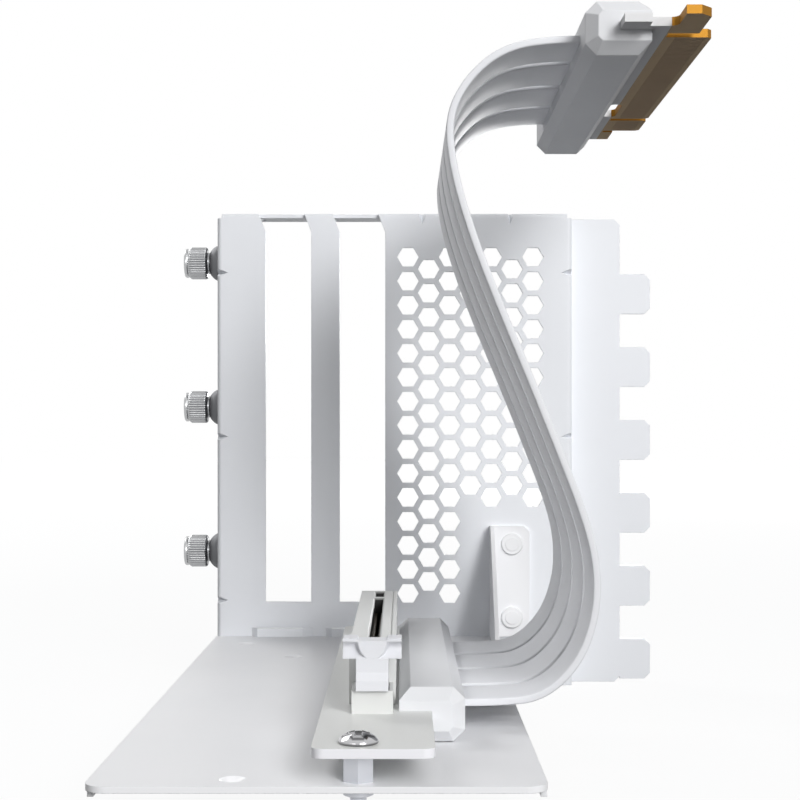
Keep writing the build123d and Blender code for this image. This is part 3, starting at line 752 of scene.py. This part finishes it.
def screw_ferrule(name, height_mm):
    """
    A domed ferrule, turned: its radius grows from the face to the foot by the flare times
    1 - (1 - share of the way) ** power, and a plain spigot goes on into the side flange.
    """
    share = np.linspace(0, 1, dome_steps)
    dome_stations = ferrule_face_mm + dome_length_mm * share
    dome_radii = dome_face_mm + dome_flare_mm * (1 - (1 - share) ** dome_power)
    profile = np.concatenate(
        (
            (
                (ferrule_inside_mm, ferrule_bore_mm),
                (-7.1, ferrule_bore_mm),
                (ferrule_face_mm, 1.6),
                (ferrule_face_mm, 3.2),
            ),
            np.stack((dome_stations, dome_radii), axis=1),
            (
                (ferrule_face_mm + dome_length_mm, ferrule_foot_mm),
                (ferrule_inside_mm, ferrule_foot_mm),
                (ferrule_inside_mm, ferrule_bore_mm),
            ),
        )
    )
    stations = np.repeat(profile[:, :1], ferrule_columns, axis=1)
    radii = np.repeat(profile[:, 1:], ferrule_columns, axis=1)
    points = turned_grid(
        stations, radii, angles_round(ferrule_columns), "X", (0.0, 0.0, height_mm)
    )
    piece = mesh_piece(
        f"domed_ferrule_{name}",
        points.reshape(-1, 3).tolist(),
        grid_faces(len(profile), ferrule_columns),
        zinc_plate,
    )
    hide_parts(f"screw_ferrule_{name}")


for name, height_mm in screw_heights_mm.items():
    thumbscrew(name, height_mm)
    screw_ferrule(name, height_mm)

board_top_mm = -57.05
board_screw_places_mm = {"front": (39.7, -179.1), "rear": (39.7, -41.5)}
board_screw_columns = 96
pan_radius_mm = 3.3
pan_edge_mm = 0.38
pan_rise_mm = 1.65
pan_sphere_mm = 3.36
pan_fullness = 0.85
pan_cross_mm = (1.85, 0.62)
# Each row of the recess: its share of the way out to the cross's outline, its depth, and its
# painted shade
pan_recess = np.array(
    (
        (0.15, 1.25, 0.0),
        (0.5, 1.2, 0.1),
        (0.85, 0.75, 0.7),
        (0.96, 0.12, 0.9),
        (1.0, 0.0, 0.4),
    )
)
crown_rings = 16
crown_shares = np.linspace(0.08, 1.0, crown_rings)[:, None]
# Painted dark reflection on the crown: its level at shares of the way out from the recess to the
# rim
crown_painted_reflection_shares = (0, 0.3, 0.5, 0.75, 1)
crown_painted_reflection_levels = (0.1, 0.3, 0.9, 0.0, 0.1)
under_head_mm = ((0.28, pan_radius_mm), (0.0, 3.22), (0.0, 1.25), (-1.6, 1.25))
under_head_corner_mm = 0.1
# The next value is the painted shade under the head
under_head_painted_shade = 0.5
fine_pitch_mm = 0.45
fine_rows_per_pitch = 6
fine_thread_mm = (-1.6, -5.1)
fine_root_mm = 1.02
fine_high_mm = 0.23
fine_root_share = 0.2
fine_flank_share = 0.65
# The next value is the painted shade along the fine thread
fine_thread_painted_shade = 0.3


def board_screw(name, x_mm, y_mm):
    """
    A pan head screw: the head's height falls off by (1 - (radius / sphere) ** 2) ** fullness,
    with a cross recess sunk into it, above a shank and a vee thread along a helix.
    """
    columns = board_screw_columns
    angles = angles_round(columns)
    cross = cross_outline(angles, *pan_cross_mm)
    recess_radii = pan_recess[:, :1] * cross[None, :]
    crown_radii = cross[None, :] * (1 - crown_shares) + pan_radius_mm * crown_shares
    head_radii = np.concatenate((recess_radii, crown_radii))
    swell = np.clip(1 - (head_radii / pan_sphere_mm) ** 2.0, 0, 1) ** pan_fullness
    head_heights = pan_edge_mm + pan_rise_mm * swell
    head_heights[: len(pan_recess)] -= pan_recess[:, 1:2]
    under_head = rounded_corners(under_head_mm, under_head_corner_mm)
    lower_radii = np.repeat(under_head[:, 1:], columns, axis=1)
    lower_heights = np.repeat(under_head[:, :1], columns, axis=1)
    thread_rows_mm = np.arange(*fine_thread_mm, -fine_pitch_mm / fine_rows_per_pitch)[:, None]
    thread = vee_thread(
        thread_rows_mm, angles, fine_pitch_mm, fine_root_share, fine_flank_share
    )
    thread_radii = fine_root_mm + fine_high_mm * thread
    thread_heights = np.broadcast_to(thread_rows_mm, thread_radii.shape)
    crown_painted_reflection = np.interp(crown_shares, crown_painted_reflection_shares, crown_painted_reflection_levels)
    # Painted shade and painted reflection, from the recess down the thread
    groove = (
        np.repeat(pan_recess[:, 2:], columns, axis=1),
        np.repeat(crown_painted_reflection, columns, axis=1),
        np.full(lower_radii.shape, under_head_painted_shade),
        np.full(thread_radii.shape, fine_thread_painted_shade),
    )
    turned_piece(
        f"pan_head_screw_{name}",
        f"board_screw_{name}",
        "mount",
        chrome_plate,
        np.concatenate((head_heights, lower_heights, thread_heights)),
        np.concatenate((head_radii, lower_radii, thread_radii)),
        np.concatenate(groove),
        "Z",
        (x_mm, y_mm, board_top_mm),
    )


for name, (x_mm, y_mm) in board_screw_places_mm.items():
    board_screw(name, x_mm, y_mm)


# Slot latch

wing_front_mm = -155.5
wing_thick_mm = 5.0
wing_half_mm = 5.25
wing_bottom_mm = -47.15
wing_top_mm = -43.55
lip_mm = 0.6
scoop_mm = 1.5
scoop_power = 0.75
scoop_side_mm = 0.6
middle_half_mm = 2.45
middle_length = 0.98
middle_dip_mm = 0.45
dip_beyond_middle_mm = 0.3
dip_side_mm = 0.25
latch_half_mm = 2.9
pivot_mm = (-150.5, -54.85)
hub_radius_mm = 1.5
hub_steps = 32
pivot_pin_radius_mm = 0.8
pivot_pin_steps = 24
pivot_pin_half_mm = 3.7
hook_half_mm = 0.85
stem_outline_mm = (
    (-150.5, -47.15),
    (-155.5, -47.15),
    (-155.5, -49.6),
    (-156.3, -51.0),
    (-156.3, -52.75),
    (-156.15, -52.85),
    (-155.4, -52.85),
    (-155.4, -51.6),
    (-149.0, -51.6),
)
root_outline_mm = ((-152.0, -54.85), (-149.0, -54.85), (-149.0, -51.5), (-152.0, -51.5))
hook_outline_mm = (
    (-150.6, -47.3),
    (-146.1, -47.3),
    (-146.1, -46.0),
    (-146.6, -45.95),
    (-150.6, -45.95),
)


def prism(outline, start, end):
    """A closed prism: an outline in Y and Z carried straight along X."""
    outline = np.array(outline, dtype=float)
    count = len(outline)
    ends = [np.column_stack((np.full(count, x), outline)) for x in (start, end)]
    corner = np.arange(count)
    following = (corner + 1) % count
    sides = np.stack((corner, following, following + count, corner + count), axis=-1).tolist()
    return np.concatenate(ends), sides + [corner[::-1].tolist(), (corner + count).tolist()]


def wings(columns=72, rows=48):
    """
    The wings' front: below a lip, a scoop that goes in steeply and comes out gently, by the sine
    of a power of the way down, kept out of the middle by an ellipse that is widest at the top.
    """
    across = np.linspace(-wing_half_mm, wing_half_mm, columns)
    height = np.linspace(wing_bottom_mm, wing_top_mm, rows)
    scoop_top = wing_top_mm - lip_mm
    fall = np.clip((scoop_top - height) / (scoop_top - wing_bottom_mm), 0, 1)
    round_depth = scoop_mm * np.sin(math.pi * fall**scoop_power)
    middle = middle_half_mm * np.sqrt(np.clip(1 - (fall * middle_length) ** 2, 0, 1))
    outside = np.clip((np.abs(across)[None, :] - middle[:, None]) / scoop_side_mm, 0, 1)
    outside = outside**2 * (3 - 2 * outside)
    depth = round_depth[:, None] * outside
    dip_reach = middle_half_mm + dip_beyond_middle_mm
    dip = middle_dip_mm * np.clip((dip_reach - np.abs(across)) / dip_side_mm, 0, 1)
    top_share = np.clip((height - scoop_top) / lip_mm, 0, 1)
    front = np.stack(
        (
            np.broadcast_to(card_x_mm + across, depth.shape),
            wing_front_mm + depth,
            height[:, None] - top_share[:, None] * dip[None, :],
        ),
        axis=-1,
    )
    back = front.copy()
    back[..., 1] = wing_front_mm + wing_thick_mm
    index = np.arange(rows * columns).reshape(rows, columns)
    low, high = index[:-1, :-1], index[1:, :-1]
    quads = [np.stack((low, low + 1, high + 1, high), axis=-1).reshape(-1, 4)]
    quads.append(quads[0][:, ::-1] + rows * columns)
    for rim in (index[0], index[:, -1], index[-1, ::-1], index[::-1, 0]):
        rim_back = rim + rows * columns
        quads.append(np.stack((rim[:-1], rim[1:], rim_back[1:], rim_back[:-1]), axis=-1))
    points = np.concatenate((front.reshape(-1, 3), back.reshape(-1, 3)))
    return points, np.concatenate(quads).tolist()


def ring_outline(centre, radius, steps):
    """A circle in Y and Z as points evenly spaced round it."""
    angle = angles_round(steps)
    y, z = centre[0] + radius * np.cos(angle), centre[1] + radius * np.sin(angle)
    return np.stack((y, z), axis=1)


def about_card(half_mm):
    """The two X places of a width centred over the card."""
    return card_x_mm - half_mm, card_x_mm + half_mm


def slot_latch():
    """The latch as closed shells: wings, stem, root, hub, pivot pin and the hook over the card."""
    shells = [
        wings(),
        prism(stem_outline_mm, *about_card(latch_half_mm)),
        prism(root_outline_mm, *about_card(latch_half_mm)),
        prism(ring_outline(pivot_mm, hub_radius_mm, hub_steps), *about_card(latch_half_mm)),
        prism(
            ring_outline(pivot_mm, pivot_pin_radius_mm, pivot_pin_steps),
            *about_card(pivot_pin_half_mm),
        ),
        prism(hook_outline_mm, *about_card(hook_half_mm)),
    ]
    points, faces, count = [], [], 0
    for shell_points, shell_faces in shells:
        points.append(shell_points)
        faces += [[corner + count for corner in face] for face in shell_faces]
        count += len(shell_points)
    piece = mesh_piece(
        "winged_latch",
        (np.concatenate(points) * MM).tolist(),
        faces,
        latch_nylon,
        body="latch",
        smooth=False,
    )
    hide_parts("slot_latch")


slot_latch()


# Camera, at the photograph's view

photo_px = 800
focal_px = 1475
horizon_px = 430.0
vanishing_px = 401.7
sensor_mm = 36.0
camera_place_mm = (46.7, -417.5, -6.5)

camera_data = bpy.data.cameras.new("camera")
camera_data.sensor_width = sensor_mm
camera_data.lens = sensor_mm * focal_px / photo_px
camera_data.shift_x = (photo_px / 2 - vanishing_px) / photo_px
camera_data.shift_y = (horizon_px - photo_px / 2) / photo_px
camera = bpy.data.objects.new("camera", camera_data)
camera.location = [value * MM for value in camera_place_mm]
camera.rotation_euler = (math.pi / 2, 0.0, 0.0)
bpy.context.collection.objects.link(camera)
bpy.context.scene.camera = camera


# Floor, backdrop and light


def seen_directly(tree):
    """1 for a ray from the camera, a reflection or glass, and 0 for the light on a surface."""
    path = add_node(tree, "ShaderNodeLightPath").outputs
    either = add_node(
        tree,
        "ShaderNodeMath",
        links={0: path["Is Camera Ray"], 1: path["Is Glossy Ray"]},
        operation="MAXIMUM",
    )
    return add_node(
        tree,
        "ShaderNodeMath",
        links={0: either.outputs[0], 1: path["Is Transmission Ray"]},
        operation="MAXIMUM",
    ).outputs[0]


ambient_strength = 0.01

world = bpy.data.worlds.new("studio")
world.use_nodes = True
bpy.context.scene.world = world
world_tree = world.node_tree
world_tree.nodes.clear()
soft_light = add_node(
    world_tree, "ShaderNodeBackground", {"Color": colour("f4f6fc"), "Strength": ambient_strength}
)
white_backdrop = add_node(
    world_tree, "ShaderNodeBackground", {"Color": colour("ffffff"), "Strength": 1.0}
)
world_mix = add_node(
    world_tree,
    "ShaderNodeMixShader",
    links={
        0: seen_directly(world_tree),
        1: soft_light.outputs[0],
        2: white_backdrop.outputs[0],
    },
)
add_node(world_tree, "ShaderNodeOutputWorld", links={"Surface": world_mix.outputs[0]})

# The floor shows white with the object's soft shadow, and throws little light back up. Its glow
# is a little lower near the object, where the lamps on its paint make up the rest of the white.
floor_half = 3.0
floor_gap_mm = 0.05
glow_near, glow_far = 0.25, 1.2
glow_strength_near, glow_strength_far = 0.93, 1.0

floor_material = bpy.data.materials.new("pale_floor")
floor_material.use_nodes = True
floor_tree = floor_material.node_tree
floor_tree.nodes.clear()
floor_paint = add_node(floor_tree, "ShaderNodeBsdfDiffuse", {"Color": colour("4b4c4d")})
floor_place = add_node(floor_tree, "ShaderNodeTexCoord").outputs["Object"]
from_middle = add_node(
    floor_tree, "ShaderNodeVectorMath", links={0: floor_place}, operation="LENGTH"
)
floor_strength = add_node(
    floor_tree,
    "ShaderNodeMapRange",
    {
        "From Min": glow_near,
        "From Max": glow_far,
        "To Min": glow_strength_near,
        "To Max": glow_strength_far,
    },
    {"Value": from_middle.outputs["Value"]},
)
floor_glow = add_node(
    floor_tree,
    "ShaderNodeEmission",
    {"Color": colour("ffffff")},
    {"Strength": floor_strength.outputs["Result"]},
)
floor_seen = add_node(
    floor_tree, "ShaderNodeAddShader", links={0: floor_paint.outputs[0], 1: floor_glow.outputs[0]}
)
floor_mix = add_node(
    floor_tree,
    "ShaderNodeMixShader",
    links={
        0: seen_directly(floor_tree),
        1: floor_paint.outputs[0],
        2: floor_seen.outputs[0],
    },
)
add_node(floor_tree, "ShaderNodeOutputMaterial", links={"Surface": floor_mix.outputs[0]})

floor_z = cad_low[2] - floor_gap_mm * MM
floor_mesh = bpy.data.meshes.new("floor")
floor_mesh.from_pydata(
    [(x * floor_half, y * floor_half, floor_z) for x, y in ((-1, -1), (1, -1), (1, 1), (-1, 1))],
    [],
    [(0, 1, 2, 3)],
)
floor_mesh.materials.append(floor_material)
floor = bpy.data.objects.new("floor", floor_mesh)
bpy.context.collection.objects.link(floor)

whole_object = (0.05, -0.08, 0.0)
housing_end = (0.08, -0.17, 0.07)
plate_left = (0.0, 0.0, 0.04)

# Azimuth from the front to the right and elevation, both in degrees; distance from what the lamp
# is aimed at; the side of its square; its power in watts; and its aim
lamps = {
    "key_lamp": (20, 18, 1.6, 0.5, 12.4, whole_object),
    "second_lamp": (35, 30, 1.6, 0.5, 5.95, whole_object),
    "low_lamp": (30, 3, 1.6, 0.4, 2.9, whole_object),
    "back_left_lamp": (-130, 40, 0.9, 0.4, 3.2, whole_object),
    "high_lamp": (30, 50, 0.75, 0.3, 1.0, whole_object),
    "housing_lamp": (-30, 10, 0.35, 0.12, 0.12, housing_end),
    "plate_lamp": (-20, 20, 0.5, 0.2, 0.08, plate_left),
    "back_lamp": (172, 6, 1.6, 0.2, 3.6, whole_object),
}


def soft_box(name, azimuth_deg, elevation_deg, distance, size, power, aim):
    """A square area lamp on a sphere round its aim, facing it."""
    azimuth, elevation = math.radians(azimuth_deg), math.radians(elevation_deg)
    way = np.array(
        (
            math.sin(azimuth) * math.cos(elevation),
            -math.cos(azimuth) * math.cos(elevation),
            math.sin(elevation),
        )
    )
    data = bpy.data.lights.new(name, "AREA")
    data.size = size
    data.energy = power
    lamp = bpy.data.objects.new(name, data)
    lamp.location = np.array(aim) + way * distance
    lamp.rotation_euler = (math.pi / 2 - elevation, 0.0, azimuth)
    bpy.context.collection.objects.link(lamp)


for name, placing in lamps.items():
    soft_box(name, *placing)

bpy.context.scene.view_settings.view_transform = "Standard"
